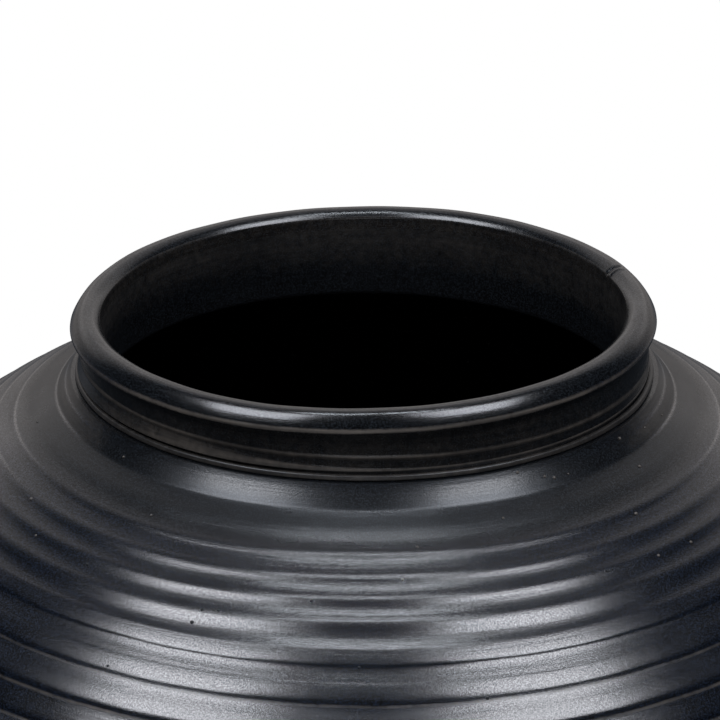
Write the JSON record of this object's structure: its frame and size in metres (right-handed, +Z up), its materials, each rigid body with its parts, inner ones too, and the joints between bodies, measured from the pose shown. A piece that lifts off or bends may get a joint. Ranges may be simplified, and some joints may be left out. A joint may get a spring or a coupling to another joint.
{
  "type": "ceramic vase",
  "caption": "Squat round vase with throwing rings, a short collar neck and a rolled lip round a wide mouth, standing on a turned foot ring. It holds cut stems and water.",
  "frame": {"origin": "on the axis of the vase, in the plane that the foot ring stands on", "axes": "+Z up along the axis of the vase; X and Y are alike, because the vase is round"},
  "size_m": [0.286, 0.286, 0.25],
  "materials": {
    "black_glaze": "satin black glaze",
    "bare_clay": "unglazed turned stoneware"
  },
  "bodies": {
    "root": {"foot_ring": "bare_clay", "lower_bowl": "black_glaze", "belly_seam_coil": "black_glaze", "shoulder_bowl": "black_glaze", "neck_seam_coil": "black_glaze", "neck_collar": "black_glaze", "rim_roll": "black_glaze"}
  },
  "joints": []
}
